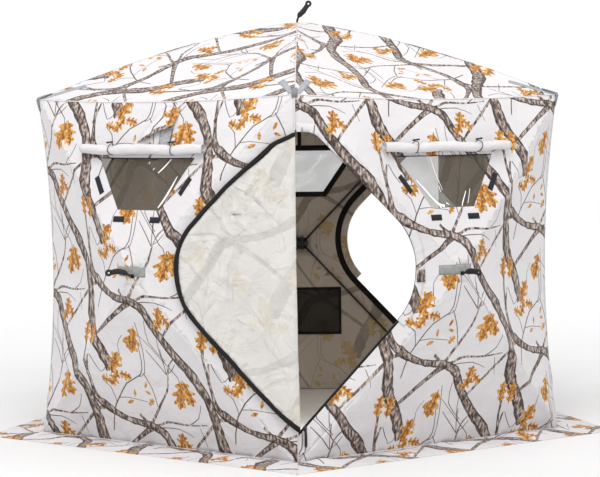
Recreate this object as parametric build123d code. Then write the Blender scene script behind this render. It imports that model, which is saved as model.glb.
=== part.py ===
from build123d import *
import math
import os

# Five-sided pop-up hub shelter. +Z is up and -Y is the front corner. The origin is on the ground,
# under the middle of the whole outline. Each wall is built in its own frame: X runs along the wall,
# to the right as seen from outside, Y is up and Z points out. Lengths are in mm, angles in degrees.

LOW = (Align.CENTER, Align.CENTER, Align.MIN)

# ---- the shelter ----
SIDES = 5
corner_radius = 1415.0  # from the tent's centre line to a wall corner
wall_height = 1745.0
peak_height = 2150.0
wall_bulge = 218.0  # how far the middle of a wall stands out from its four corners
corner_pull_in = 64.0  # how far a corner seam without a door bows in, half way up
skirt_width = 240.0
skirt_thickness = 2.0
fabric = 1.2
patch_radius = 60.0  # flat middle of a wall or of the roof, out to its corners
walls = {"front_left": -36, "front_right": 36, "rear_right": 108, "rear": 180, "rear_left": 252}
doors = {"front": 0, "rear": 144}  # the corner that each door is at

# ---- poles and hubs ----
pole_radius = 5.5
ferrule_radius = 6.0
ferrule_length = 30.0
tip_length = 24.0
knuckle_width = 12.0
knuckle_radius = 6.5
pin_radius = 2.5
running_gap = 0.06
slot_width = 13.0
wall_hub = {"radius": 40.0, "pivot": 28.0, "below": 10.0, "above": 13.0}
roof_hub = {"radius": 46.0, "pivot": 34.0, "below": 12.0, "above": 14.0}
hub_cap = 3.0
hub_to_fabric = 0.8
wall_tip_inset = 75.0  # from a wall corner to the ball on a wall pole, along the diagonal
wall_tip_depth = -8.0
roof_tip_radius = 1305.0
roof_tip_height = 1742.0
cup_wall = 2.0
cup_width = 17.0

# ---- pull handles ----
stem_radius = 6.0
handle_lift = 14.0  # from a hub's outer face to the handle's pin
handle_length = 108.0
handle_end_radius = 17.0
handle_eye_radius = 5.0
handle_thickness = 4.0
handle_pin_radius = 2.0
handle_waist = 60.0  # how far from the pin the tab starts to widen
handle_waist_radius = 9.5
handle_neck = 14.0
ear_thickness = 3.0
ear_base = 3.0
handle_rest = {"front_left": -54, "front_right": 3, "rear_right": 40, "rear": -54, "rear_left": -60}
roof_handle_rest = 34

# ---- doors ----
door_top = 1572.0
door_top_length = 88.0
door_top_round = 100.0
door_bottom = 140.0
door_round = 345.0
seam_strip = 12.0
doorway_tape = 12.0
flap_tape = 18.0
flap_gap = 5.0
flap_lift = 3.4  # from the wall's surface to the middle of the folded flap
tape_thickness = 1.6

# ---- zip slider and its pull ----
slider_start = 30.0
slider_length = 22.0
slider_plate = 2.0
slider_slot = 2.4
slider_reach = 13.0
slider_bridge = 3.0
pull_length = 84.0
pull_width = 14.0
pull_thickness = 2.5

# ---- windows, vents and pocket ----
window_top = 1447.0
window_bottom = 1192.0
window_top_half = 305.0
window_bottom_half = 134.0
pane_margin = 15.0
pane_thickness = 0.8
cover_height = 1494.0
cover_radius = 28.0
cover_layers = 5.0  # thickness of the rolled-up fabric round its hollow middle
cover_length = 790.0
toggle_spacing = 400.0
side_tab = (28.0, 98.0)  # width and length of the fastening tabs beside a window
side_tab_at = (278.0, 1312.0)
low_tab = (68.0, 28.0)
low_tab_at = (118.0, 1146.0)
tab_thickness = 1.4
strap_width = 20.0
toggle_radius = 4.0
toggle_length = 32.0
vent_walls = ("front_left", "rear_right")
vent_base = 1528.0
vent_top = 1704.0
vent_half = 125.0
vent_middle = 40.0
vent_lift = 62.0
pocket_half = 238.0
pocket_top = 605.0
pocket_bottom = 324.0

# ---- worked out from those ----
half_angle = 180 / SIDES
apothem = corner_radius * math.cos(math.radians(half_angle))
half_side = corner_radius * math.sin(math.radians(half_angle))
mid_height = wall_height / 2
diagonal = math.hypot(half_side, mid_height)
diagonal_angle = math.degrees(math.atan2(mid_height, half_side))
patch_x = patch_radius * half_side / diagonal
patch_y = patch_radius * mid_height / diagonal
side_slope = math.degrees(math.atan2(wall_bulge, half_side - patch_x))
top_slope = math.degrees(math.atan2(wall_bulge, mid_height - patch_y))
mitre = fabric / math.cos(math.radians(half_angle))
pivot_depth = wall_bulge - fabric - hub_to_fabric - wall_hub["above"]
roof_pivot = peak_height - fabric - hub_to_fabric - roof_hub["above"]
handle_reach = wall_bulge - fabric - hub_to_fabric + handle_lift
rear_turn = math.radians(abs(handle_rest["rear"]))
rear_reach = apothem + handle_reach + (handle_length + handle_end_radius) * math.cos(rear_turn)
rear_reach += handle_thickness / 2 * math.sin(rear_turn)
skirt_corner = (apothem + skirt_width) / math.cos(math.radians(half_angle))
centre_y = (skirt_corner - rear_reach) / 2


def wall_frame(angle):
    """The frame of the wall that faces this way: X along the wall, Y up, Z out."""
    a = math.radians(angle)
    out = Vector(math.sin(a), -math.cos(a), 0)
    origin = Vector(0, centre_y, 0) + out * apothem
    return Plane(origin=origin, x_dir=(math.cos(a), math.sin(a), 0), z_dir=out).location


def tent_frame(height):
    """A level frame on the tent's centre line."""
    return Location((0, centre_y, height))


def planar(points):
    return Face(Wire.make_polygon([Vector(*p) for p in points], close=True))


def skin(outer, inner, faces):
    """A closed thin solid. Its outer and inner points match one to one, and faces lists their indices."""
    made = []
    edges = {}
    for face in faces:
        made.append(planar([outer[i] for i in face]))
        made.append(planar([inner[i] for i in reversed(face)]))
        for a, b in zip(face, face[1:] + face[:1]):
            edges[(a, b)] = True
    for a, b in edges:
        if (b, a) not in edges:
            first, last = sorted((a, b), key=lambda i: (outer[i][2], outer[i][1], outer[i][0]))
            made.append(planar([outer[first], outer[last], inner[last]]))
            made.append(planar([outer[first], inner[last], inner[first]]))
    return Solid(Shell(made))


def moved_in(point, side):
    """Where a point of a corner seam lies on the wall's inner face, cut to meet the next wall."""
    s, h, n = point
    turn = math.radians(half_angle)
    drop = fabric if h > wall_height - 1 else 0
    return (s - side * mitre * math.sin(turn), h - drop, n - mitre * math.cos(turn))


def seam_points(side, bowed):
    """Points up a corner seam, from the ground to the eave, in the wall's frame."""
    steps = 8 if bowed else 1
    points = []
    for i in range(steps + 1):
        h = skirt_thickness + (wall_height - skirt_thickness) * i / steps
        pull = corner_pull_in * (1 - ((h - mid_height) / (mid_height - skirt_thickness)) ** 2) if bowed else 0
        turn = math.radians(half_angle)
        points.append((side * (half_side - pull * math.sin(turn)), h, -pull * math.cos(turn)))
    return points


def patch_point(x, y):
    return (x * patch_x, mid_height + y * patch_y, wall_bulge)


def below(point):
    return (point[0], point[1], point[2] - fabric)


def side_gore(side, bowed):
    """The gore between a wall's two poles on one side, out to the corner seam."""
    seam = seam_points(side, bowed)
    low, high = patch_point(side, -1), patch_point(side, 1)
    outer = [low, high] + seam
    inner = [below(low), below(high)] + [moved_in(p, side) for p in seam]
    count = len(seam)
    if bowed:
        middle = count // 2
        faces = [[0, 2 + i, 3 + i] for i in range(middle)]
        faces += [[0, 2 + middle, 1]]
        faces += [[1, 2 + i, 3 + i] for i in range(middle, count - 1)]
    else:
        faces = [[0, 2, 3, 1]]
    if side < 0:
        faces = [face[::-1] for face in faces]
    return skin(outer, inner, faces)


def level_gore(up):
    """The gore at the top or the bottom of a wall."""
    edge_height = wall_height if up > 0 else skirt_thickness
    corners = [(-half_side, edge_height, 0), (half_side, edge_height, 0)]
    near = [patch_point(-1, up), patch_point(1, up)]
    outer = near + corners
    inner = [below(p) for p in near] + [moved_in(corners[0], -1), moved_in(corners[1], 1)]
    face = [0, 1, 3, 2] if up > 0 else [1, 0, 2, 3]
    return skin(outer, inner, [face])


def top_frame():
    """On the outer face of a wall's top gore: X along the eave, Y up the slope, Z out."""
    a = math.radians(top_slope)
    return Plane(origin=(0, wall_height, 0), x_dir=(1, 0, 0), z_dir=(0, math.sin(a), math.cos(a))).location


def bottom_frame():
    """On the outer face of a wall's bottom gore: X along the ground, Y up the slope, Z out."""
    slope = math.atan2(wall_bulge, mid_height - patch_y - skirt_thickness)
    normal = (0, -math.sin(slope), math.cos(slope))
    return Plane(origin=(0, skirt_thickness, 0), x_dir=(1, 0, 0), z_dir=normal).location


def side_frame(side):
    """On the outer face of a door's side gore: X away from the corner seam, Y up."""
    a = math.radians(side_slope)
    across = (-side * math.cos(a), 0, math.sin(a))
    out = Vector(*across).cross(Vector(0, 1, 0))
    return Plane(origin=(side * half_side, 0, 0), x_dir=across, z_dir=out).location


def slope_y(height):
    """Where a height on the wall lies in the top gore's frame."""
    return (height - wall_height) / math.cos(math.radians(top_slope))


def door_face(inset, start):
    """The half-diamond outline of a door, in the gore's plane, drawn in by inset."""
    high = door_top - inset
    low = door_bottom + inset * math.sqrt(2)
    lean = door_top + door_top_length - inset * math.sqrt(2)
    tip = (lean - low) / 2
    corners = [(start, high), (lean - high, high), (tip, lean - tip), (start, low + start)]
    outline = FilletPolyline(*corners, radius=[door_top_round - inset, door_round - inset])
    return make_face([outline, Line(corners[-1], corners[0])])


def plate(face, thickness, middle=0.0):
    """The face made solid, with its thickness centred on this height."""
    return Pos(0, 0, middle - thickness / 2) * extrude(face, thickness)


def window_face(margin):
    high, low = slope_y(window_top) + margin, slope_y(window_bottom) - margin
    wide, narrow = window_top_half + margin, window_bottom_half + margin
    return make_face(Polyline((-wide, high), (-narrow, low), (narrow, low), (wide, high), close=True))


def doorway_of(name):
    """The side on which this wall has a doorway, or 0."""
    return {"front_right": -1, "rear": -1}.get(name, 0)


def at_door(angle, side):
    return (angle + side * half_angle) % 360 in [corner % 360 for corner in doors.values()]


def wall_panel(name, angle):
    """Four gores and the middle patch, with the window and the doorway cut out."""
    hole = top_frame() * plate(window_face(0), 8 * fabric)
    pieces = [level_gore(1) - hole, level_gore(-1)]
    for side in (-1, 1):
        gore = side_gore(side, not at_door(angle, side))
        if doorway_of(name) == side:
            gore -= side_frame(side) * plate(door_face(-doorway_tape, seam_strip), 8 * fabric)
        pieces.append(gore)
    patch = Box(2 * patch_x, 2 * patch_y, fabric) - Cylinder(stem_radius + 2, 2 * fabric)
    pieces.append(Pos(0, mid_height, wall_bulge - fabric / 2) * patch)
    return [wall_frame(angle) * piece for piece in pieces]


def roof_canopy():
    """Five roof gores and the flat patch at the peak."""
    pieces = []
    for angle in walls.values():
        ends = [math.radians(angle - half_angle), math.radians(angle + half_angle)]
        eave = [(corner_radius * math.sin(a), -corner_radius * math.cos(a), wall_height) for a in ends]
        peak = [(patch_radius * math.sin(a), -patch_radius * math.cos(a), peak_height) for a in ends]
        low = [((corner_radius - mitre) * math.sin(a), (mitre - corner_radius) * math.cos(a),
                wall_height - fabric) for a in ends]
        outer = peak + eave
        inner = [below(p) for p in peak] + low
        pieces.append(tent_frame(0) * skin(outer, inner, [[0, 2, 3, 1]]))
    corners = [Vector(patch_radius, 0).rotate(Axis.Z, 360 / SIDES * k - 90) for k in range(SIDES)]
    patch = extrude(planar([(c.X, c.Y, 0) for c in corners]), fabric, dir=(0, 0, -1))
    patch -= Cylinder(stem_radius + 2, 4 * fabric)
    pieces.append(tent_frame(peak_height) * patch)
    return pieces


def snow_skirt():
    """Five strips that lie on the ground round the walls."""
    pieces = []
    for angle in walls.values():
        reach = math.tan(math.radians(half_angle))
        inner, outer = -12.0, skirt_width
        points = [((apothem + n) * reach * x, n) for n, x in ((inner, -1), (inner, 1), (outer, 1), (outer, -1))]
        strip = extrude(planar([(x, 0, n) for x, n in points]), skirt_thickness, dir=(0, 1, 0))
        pieces.append(wall_frame(angle) * strip)
    return pieces


def hub(size, angles, pin_along_y):
    """A hub, its pole pins, and the stem and pin that hold its pull handle. Z points out of the shelter."""
    height = size["below"] + size["above"]
    body = Pos(0, 0, (size["above"] - size["below"]) / 2) * Cylinder(size["radius"], height)
    body = chamfer(body.edges().filter_by(GeomType.CIRCLE), 1.5)
    slot_depth = height - hub_cap
    start = size["pivot"] - knuckle_radius - 5.5
    pins = []
    for angle in angles:
        slot = Pos(start + size["radius"] / 2, 0, -size["below"] + slot_depth / 2)
        body -= Rot(0, 0, angle) * slot * Box(size["radius"], slot_width, slot_depth)
        pin = Rot(0, 0, angle) * Pos(size["pivot"], 0, 0) * Rot(90, 0, 0) * Cylinder(pin_radius, slot_width + 8)
        body -= pin
        pins.append(pin)
    gap = knuckle_width + 1 if pin_along_y else handle_thickness + 1
    top = size["above"] + hub_to_fabric + fabric
    stem = Pos(0, 0, size["above"] - 1) * Cylinder(stem_radius, top + 2 - size["above"], align=LOW)
    base = Pos(0, 0, top + 1) * Box(2 * handle_eye_radius + 4, gap + 2 * ear_thickness, ear_base, align=LOW)
    ears = []
    lift = size["above"] + handle_lift
    for way in (-1, 1):
        side = Pos(0, way * (gap + ear_thickness) / 2, 0)
        ear = Pos(0, 0, (top + 2 + lift) / 2) * Box(2 * handle_eye_radius, ear_thickness, lift - top - 2)
        ear += Pos(0, 0, lift) * Rot(90, 0, 0) * Cylinder(handle_eye_radius, ear_thickness)
        ears.append(side * ear)
    handle_pin = Pos(0, 0, lift) * Rot(90, 0, 0) * Cylinder(handle_pin_radius, gap + 2 * ear_thickness)
    body = body + stem + base + ears[0] + ears[1] - handle_pin
    return [body, handle_pin] + pins


def pole(length):
    """A pole that lies along X from its pivot: ferrule with its eye, rod, and ball-ended tip."""
    lying = Rot(0, 90, 0)
    eye = Rot(90, 0, 0) * Cylinder(knuckle_radius, knuckle_width)
    eye -= Rot(90, 0, 0) * Cylinder(pin_radius + running_gap, 2 * knuckle_width)
    start = pin_radius + running_gap + 1.5
    neck = lying * Pos(0, 0, start) * Cylinder(pole_radius, ferrule_length - start, align=LOW)
    ferrule = eye + neck
    rod_length = length - tip_length - ferrule_length
    rod = lying * Pos(0, 0, ferrule_length) * Cylinder(pole_radius, rod_length, align=LOW)
    tip = lying * Pos(0, 0, length - tip_length) * Cylinder(ferrule_radius, tip_length, align=LOW)
    tip += Pos(length, 0, 0) * Sphere(ferrule_radius)
    return [ferrule, rod, tip]


def pole_cup(mouth, depth, high, low):
    """A pocket for a pole's ball end, open towards the hub. X points to the corner, Z out."""
    outer = [(-mouth, high[0]), (depth, high[1]), (depth, low[1]), (-mouth, low[0])]
    inner = [(-mouth - 1, high[0] - 1.5), (depth - cup_wall, high[1] - 1.5), (depth - cup_wall, low[1] + 1.5),
             (-mouth - 1, low[0] + 1.5)]
    shell = extrude(planar([(x, 0, z) for x, z in outer]), cup_width / 2, both=True, dir=(0, 1, 0))
    return shell - extrude(planar([(x, 0, z) for x, z in inner]), cup_width / 2 - 1.6, both=True, dir=(0, 1, 0))


def handle(flat):
    """A drop-shaped pull tab with an eye in its end. It points along Z from its pin, which lies along Y."""
    narrow, wide, far = handle_eye_radius, handle_end_radius, handle_length
    waist = Pos(handle_waist, 0) * Circle(handle_waist_radius)
    drop = make_hull(
        (Pos(far, 0) * Circle(wide)).edges() + waist.edges()
    ) + make_hull(waist.edges() + (Pos(handle_neck, 0) * Circle(narrow)).edges())
    drop -= Pos(far + 3, 0) * Circle(handle_eye_radius)
    drop = Rot(0, -90, 0) * plate(drop, handle_thickness)
    if flat:
        drop = Rot(0, 0, 90) * drop
        root = Rot(90, 0, 0) * Cylinder(handle_eye_radius, handle_thickness)
        root += Pos(0, 0, handle_neck / 2) * Box(2 * narrow, handle_thickness, handle_neck)
    else:
        root = Rot(90, 0, 0) * Cylinder(handle_eye_radius - 0.5, knuckle_width)
        root += Pos(0, 0, handle_neck / 2) * Box(handle_thickness, 2 * narrow, handle_neck)
    return drop + root - Rot(90, 0, 0) * Cylinder(handle_pin_radius + running_gap, 40)


def door_flap(corner):
    """A door folded back over the wall on the left of its corner, and the zip tape round its edge."""
    place = flap_frame(corner)
    cloth = plate(door_face(flap_gap + flap_tape, 6), fabric)
    tape = plate(door_face(flap_gap, 6) - door_face(flap_gap + flap_tape, 6), tape_thickness)
    return place * cloth, place * tape


def flap_frame(corner):
    """The frame of a folded-back door: X away from its hinge line, Y up."""
    a = math.radians(corner)
    turn = math.radians(corner + 180 - half_angle + side_slope)
    lift = flap_lift / math.sin(math.radians(90 - half_angle + side_slope))
    hinge = Vector(math.sin(a), -math.cos(a), 0) * (corner_radius + lift) + Vector(0, centre_y, 0)
    across = Vector(math.cos(turn), math.sin(turn), 0)
    return Plane(origin=hinge, x_dir=across, z_dir=across.cross(Vector(0, 0, 1))).location


def doorway_tape_ring():
    ring = door_face(-doorway_tape, seam_strip) - door_face(0, seam_strip)
    return plate(ring, tape_thickness, -fabric / 2)


def slider_frame():
    """On the doorway's lower edge: X up along the zip, Y into the doorway, Z out."""
    return side_frame(-1) * Pos(slider_start, door_bottom + slider_start, -fabric / 2) * Rot(0, 0, 45)


def zip_slider():
    """The slider body round the edge of the tape, and the post that its pull turns on."""
    height = slider_slot + 2 * slider_plate
    middle = (slider_bridge - slider_reach) / 2
    body = Pos(0, middle, 0) * Box(slider_length, slider_bridge + slider_reach, height)
    body = fillet(body.edges().filter_by(Axis.Z), 3)
    body -= Pos(0, (0.5 - slider_reach) / 2 - 1, 0) * Box(slider_length + 2, slider_reach + 2.5, slider_slot)
    post = Pos(0, -slider_reach / 2, height / 2) * Cylinder(1.5, pull_thickness + 2, align=LOW)
    head = Pos(0, -slider_reach / 2, height / 2 + pull_thickness + 1) * Cylinder(3.5, 1.5, align=LOW)
    return body + post + head


def zip_pull():
    """The pull that hangs straight down from the slider's post."""
    level = slider_slot / 2 + slider_plate + 0.5 + pull_thickness / 2
    shape = make_hull(Circle(pull_width / 2).edges() + (Pos(-pull_length, 0) * Circle(pull_width / 2)).edges())
    shape -= Circle(1.5 + running_gap)
    return Pos(0, -slider_reach / 2, level) * Rot(0, 0, 45) * plate(shape, pull_thickness)


def window_cover():
    """A window's cover, rolled up above it."""
    roll = Cylinder(cover_radius, cover_length) - Cylinder(cover_radius - cover_layers, cover_length)
    return Pos(0, slope_y(cover_height), cover_radius + 1.5) * Rot(0, 90, 0) * roll


def cover_toggles():
    """Two straps round a rolled cover, each with its toggle."""
    pieces = []
    for way in (-1, 1):
        place = Pos(way * toggle_spacing / 2, slope_y(cover_height), cover_radius + 1.5) * Rot(0, 90, 0)
        strap = Cylinder(cover_radius + 1.3, strap_width) - Cylinder(cover_radius + 0.2, strap_width + 2)
        middle = Pos(way * toggle_spacing / 2, slope_y(cover_height), cover_radius + 1.5)
        bar = Pos(-6, 0, cover_radius + 6.6) * Rot(0, 90, 0) * Cylinder(toggle_radius, toggle_length)
        pieces += [place * strap, middle * bar]
    return pieces


def velcro_tabs():
    """Two slanted tabs beside a window and two level ones under it."""
    rise = slope_y(window_top) - slope_y(window_bottom)
    lean = math.degrees(math.atan2(window_top_half - window_bottom_half, rise))
    pieces = []
    for way in (-1, 1):
        beside = Pos(way * side_tab_at[0], slope_y(side_tab_at[1]), 0.9) * Rot(0, 0, -way * lean)
        under = Pos(way * low_tab_at[0], slope_y(low_tab_at[1]), 0.9)
        pieces += [beside * Box(*side_tab, tab_thickness), under * Box(*low_tab, tab_thickness)]
    return pieces


def vent_hood():
    """A hood of two triangles that meet on a ridge, open at its lower edge."""
    peak = (vent_middle - 18, slope_y(vent_top), 0.6)
    left = (vent_middle - vent_half, slope_y(vent_base), 0.6)
    right = (vent_middle + vent_half, slope_y(vent_base), 0.6)
    ridge = (vent_middle, slope_y(vent_base), vent_lift)
    outer = [peak, left, right, ridge]
    inner = [(x, y - 3, max(z - 2, 0.3)) for x, y, z in outer]
    inner[1] = (left[0] + 4, left[1], 0.3)
    inner[2] = (right[0] - 4, right[1], 0.3)
    inner[3] = (ridge[0], ridge[1], ridge[2] - 2)
    return skin(outer, inner, [[0, 1, 3], [0, 3, 2]])


def mesh_pocket():
    slope = math.cos(math.atan2(wall_bulge, mid_height - patch_y - skirt_thickness))
    low, high = pocket_bottom / slope, pocket_top / slope
    return Pos(0, (low + high) / 2, -fabric - 4) * Box(2 * pocket_half, high - low, 1.5)


def save(name, pieces):
    pieces = pieces if isinstance(pieces, (list, tuple)) else [pieces]
    solids = [solid for piece in pieces for solid in piece.solids()]
    shape = solids[0] if len(solids) == 1 else Compound(children=solids)
    export_step(shape, f"parts/{name}.step")


def save_spokes(names, frame, size, radius_out, drop):
    """The poles of one hub, each from its pin to its cup."""
    length = math.hypot(radius_out - size["pivot"], drop)
    tilt = math.degrees(math.atan2(drop, radius_out - size["pivot"]))
    for name, angle in names.items():
        place = frame * Rot(0, 0, angle) * Pos(size["pivot"], 0, 0) * Rot(0, tilt, 0)
        save(name, [place * piece for piece in pole(length)])


def main():
    os.makedirs("parts", exist_ok=True)
    quarter = {"top_right": 1, "top_left": 2, "bottom_left": 3, "bottom_right": 4}
    turns = {1: diagonal_angle, 2: 180 - diagonal_angle, 3: 180 + diagonal_angle, 4: -diagonal_angle}
    wall_cup = pole_cup(34, 31, (17, 9.5), (-18, -11))
    tip_out = diagonal - wall_tip_inset
    cups, panes, covers, toggles, tabs, vents = [], [], [], [], [], []
    for name, angle in walls.items():
        place = wall_frame(angle)
        middle = place * Pos(0, mid_height, pivot_depth)
        save(f"wall_{name}", wall_panel(name, angle))
        save(f"hub_{name}", [middle * piece for piece in hub(wall_hub, turns.values(), True)])
        swing = Pos(0, 0, wall_hub["above"] + handle_lift) * Rot(0, handle_rest[name], 0)
        save(f"pull_handle_{name}", middle * swing * handle(False))
        spokes = {f"pole_{name}_{where}": turns[number] for where, number in quarter.items()}
        save_spokes(spokes, middle, wall_hub, tip_out, pivot_depth - wall_tip_depth)
        for turn in turns.values():
            inner = place * Pos(0, mid_height, wall_tip_depth)
            cups.append(inner * Rot(0, 0, turn) * Pos(tip_out, 0, 0) * wall_cup)
        top = place * top_frame()
        panes.append(top * plate(window_face(pane_margin), pane_thickness, -fabric - 0.6))
        covers.append(top * window_cover())
        toggles += [top * piece for piece in cover_toggles()]
        tabs += [top * piece for piece in velcro_tabs()]
        if name in vent_walls:
            vents.append(top * vent_hood())

    peak = tent_frame(roof_pivot)
    corners = {"front": 0, "right": 72, "rear_right": 144, "rear_left": 216, "left": 288}
    save("hub_roof", [peak * piece for piece in hub(roof_hub, [a - 90 for a in corners.values()], False)])
    swing = Pos(0, 0, roof_hub["above"] + handle_lift) * Rot(0, roof_handle_rest, 0)
    save("pull_handle_roof", peak * swing * handle(True))
    spokes = {f"roof_pole_{where}": angle - 90 for where, angle in corners.items()}
    save_spokes(spokes, peak, roof_hub, roof_tip_radius, roof_pivot - roof_tip_height)
    roof_cup = pole_cup(40, 70, (23, 9.5), (-22, -10))
    for angle in corners.values():
        cups.append(tent_frame(roof_tip_height) * Rot(0, 0, angle - 90) * Pos(roof_tip_radius, 0, 0) * roof_cup)

    tapes = []
    for name, corner in doors.items():
        cloth, tape = door_flap(corner)
        save(f"door_flap_{name}", cloth)
        save(f"door_flap_tape_{name}", tape)
        place = wall_frame(corner + half_angle)
        tapes.append(place * side_frame(-1) * doorway_tape_ring())
        save(f"zip_slider_{name}", place * slider_frame() * zip_slider())
        save(f"zip_pull_{name}", place * slider_frame() * zip_pull())

    save("roof_canopy", roof_canopy())
    save("snow_skirt", snow_skirt())
    save("pole_cups", cups)
    save("doorway_tapes", tapes)
    save("window_panes", panes)
    save("window_covers", covers)
    save("cover_toggles", toggles)
    save("velcro_tabs", tabs)
    save("vent_hoods", vents)
    save("mesh_pocket", wall_frame(walls["rear"]) * bottom_frame() * mesh_pocket())


main()
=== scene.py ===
from math import atan2, ceil, cos, exp, floor, hypot, pi, radians, sin, sqrt, tan

import bpy
import numpy as np
from mathutils import Matrix, Vector, noise
from mathutils.geometry import delaunay_2d_cdt


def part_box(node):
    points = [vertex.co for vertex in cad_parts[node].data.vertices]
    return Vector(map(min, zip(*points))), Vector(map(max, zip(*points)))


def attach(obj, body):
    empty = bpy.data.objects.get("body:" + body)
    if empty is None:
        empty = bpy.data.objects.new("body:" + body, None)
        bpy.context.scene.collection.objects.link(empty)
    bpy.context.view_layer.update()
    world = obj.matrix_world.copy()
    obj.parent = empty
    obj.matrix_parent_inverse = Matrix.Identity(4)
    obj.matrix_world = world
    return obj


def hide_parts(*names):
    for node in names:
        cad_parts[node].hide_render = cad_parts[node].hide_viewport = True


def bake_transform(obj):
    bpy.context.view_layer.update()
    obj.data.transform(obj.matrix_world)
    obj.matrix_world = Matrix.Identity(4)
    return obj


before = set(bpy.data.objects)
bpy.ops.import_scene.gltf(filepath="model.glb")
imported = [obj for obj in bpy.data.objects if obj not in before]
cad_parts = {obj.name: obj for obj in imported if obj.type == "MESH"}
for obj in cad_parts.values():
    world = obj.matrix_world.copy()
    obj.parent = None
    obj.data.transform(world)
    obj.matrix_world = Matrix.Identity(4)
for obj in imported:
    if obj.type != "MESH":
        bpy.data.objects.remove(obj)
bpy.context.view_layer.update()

# ---- the shelter's shape, in metres, taken from the frame ----
Z = Vector((0, 0, 1))
canopy_low, canopy_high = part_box("roof_canopy")
RADIUS = (canopy_high.x - canopy_low.x) / (2 * sin(radians(72)))
CENTRE_Y = canopy_low.y + RADIUS
PEAK = canopy_high.z
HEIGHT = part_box("wall_rear")[1].z
HALF = radians(36)
APOTHEM = RADIUS * cos(HALF)
SIDE = RADIUS * sin(HALF)
MID = HEIGHT / 2
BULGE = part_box("wall_rear")[1].y - CENTRE_Y - APOTHEM
DIAGONAL = hypot(SIDE, MID)
PATCH = 0.06  # from a hub's middle to a corner of the patch over it
PATCH_X, PATCH_Y = PATCH * SIDE / DIAGONAL, PATCH * MID / DIAGONAL
GROUND = 0.002  # the height of the walls' lower edges
FABRIC = 0.0012
SLOPE = cos(atan2(BULGE, SIDE - PATCH_X))  # from a length on a side gore to its length along the wall
WALLS = {"front_left": -36, "front_right": 36, "rear_right": 108, "rear": 180, "rear_left": 252}
DOOR_CORNERS = {"front": 0, "rear": 144}
POLE_BOW = 0.014  # how far the bent poles push a wall's ridges out
SAG = 0.016  # how far the cloth falls back between two poles
EAVE_SAG = 0.024
SEAM_PULL = 0.064  # how far a corner seam is pulled in at mid-height
DOOR_SEAM_PULL = 0.006
ROOF_BOW, ROOF_SAG = 0.042, 0.030

# ---- the camouflage print: one repeat of the cloth, round its main fork, in metres ----
REPEAT = (0.79, 0.64)
BRANCHES = [
    ((0, 0, .045), (.08, -.04, .052), (.115, -.10, .052), (.165, -.18, .048), (.25, -.28, .058),
     (.34, -.37, .066), (.40, -.47, .056), (.425, -.56, .060), (.44, -.64, .068), (.45, -.72, .078),
     (.49, -.80, .068), (.54, -.88, .074), (.57, -.95, .068), (.585, -1.01, .05)),
    ((-.36, .50, .012), (-.36, .34, .015), (-.348, .20, .022), (-.33, .12, .04), (-.285, .085, .052),
     (-.21, .045, .038), (-.11, .012, .037), (0, 0, .045)),
    ((-.27, .075, .03), (-.34, .06, .019), (-.40, .015, .018), (-.48, -.06, .016), (-.57, -.14, .015),
     (-.62, -.19, .01)),
    ((.01, -.01, .036), (-.06, -.05, .029), (-.15, -.11, .024), (-.24, -.175, .02), (-.27, -.20, .016)),
    ((-.065, .052, .017), (-.03, .02, .02), (.01, -.005, .022)),
    ((0, 0, .022), (.08, .10, .015), (.15, .20, .013), (.18, .31, .011), (.245, .37, .007)),
    ((.02, 0, .018), (.06, .005, .015), (.12, .025, .015), (.25, .02, .011), (.37, .03, .006)),
    ((-.33, -.29, .010), (-.345, -.34, .014), (-.36, -.40, .018)),
]
TWIGS = [
    ((.18, .31, .006), (.145, .36, .006), (.14, .46, .004)),
    ((.18, .31, .006), (.23, .26, .005), (.235, .22, .004)),
    ((.17, .32, .005), (.09, .40, .004), (.03, .46, .003)),
    ((.25, .02, .006), (.32, .06, .005), (.35, .13, .004)),
    ((.05, -.01, .006), (.18, -.005, .005), (.27, -.04, .003)),
    ((.32, .01, .004), (.345, -.08, .003)),
    ((-.26, -.05, .008), (-.23, .06, .008), (-.18, .13, .008), (-.11, .21, .007), (-.01, .26, .007),
     (.01, .33, .006), (0, .46, .005)),
    ((.01, .27, .006), (.05, .19, .006), (.07, .10, .005)),
    ((-.18, .13, .004), (-.11, .135, .004), (.01, .12, .003)),
    ((-.20, .10, .005), (-.22, .18, .005), (-.27, .22, .004)),
    ((-.12, .31, .004), (-.12, .41, .004), (-.08, .46, .003)),
    ((.08, -.10, .004), (.08, -.21, .005), (.17, -.30, .004)),
    ((.02, -.11, .004), (.03, -.25, .005), (.02, -.37, .005), (-.03, -.39, .003)),
    ((-.32, -.29, .005), (-.27, -.38, .005), (-.23, -.35, .004)),
    ((-.64, -.24, .004), (-.63, -.37, .007), (-.56, -.31, .004)),
    ((-.74, -.25, .004), (-.63, -.37, .006)),
]
LEAVES = [  # stalk end, the way it points in degrees, length
    (-.20, .25, 60, .14), (-.15, .26, -15, .085), (-.15, .27, -130, .10), (-.20, .21, 160, .075),
    (.25, .25, -105, .16), (.255, .25, -70, .14), (.17, -.13, 75, .11), (.20, -.06, -50, .08),
    (.21, -.08, -140, .095), (.42, .40, 86, .115), (.48, .39, 80, .115), (.44, .44, 150, .055),
    (0, .19, 60, .042), (0, .175, -20, .038), (-.07, .14, 85, .042), (-.13, .105, 20, .048),
    (.01, .10, 45, .055), (-.04, .46, -100, .08), (-.045, .45, -145, .05), (-.035, .45, -55, .05),
    (.005, -.13, -110, .15),
]
LEAF = [(0, .015), (.10, .03), (.17, .15), (.25, .24), (.31, .23), (.31, .12), (.40, .12), (.50, .27),
        (.58, .35), (.64, .31), (.60, .15), (.69, .14), (.78, .23), (.86, .25), (.89, .18), (.84, .11),
        (.92, .09), (1, .01)]  # along a leaf: half its width, as parts of its length
SMALL_LEAF = [(0, .02), (.15, .10), (.35, .19), (.55, .21), (.75, .16), (.90, .08), (1, .01)]
PLAIN, TWIG, BARK, BARK_SHADE, LEAF_GOLD, LEAF_SHADE = range(6)
INSIDE = 6  # from a print material to the same one on the cloth's inner face


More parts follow.
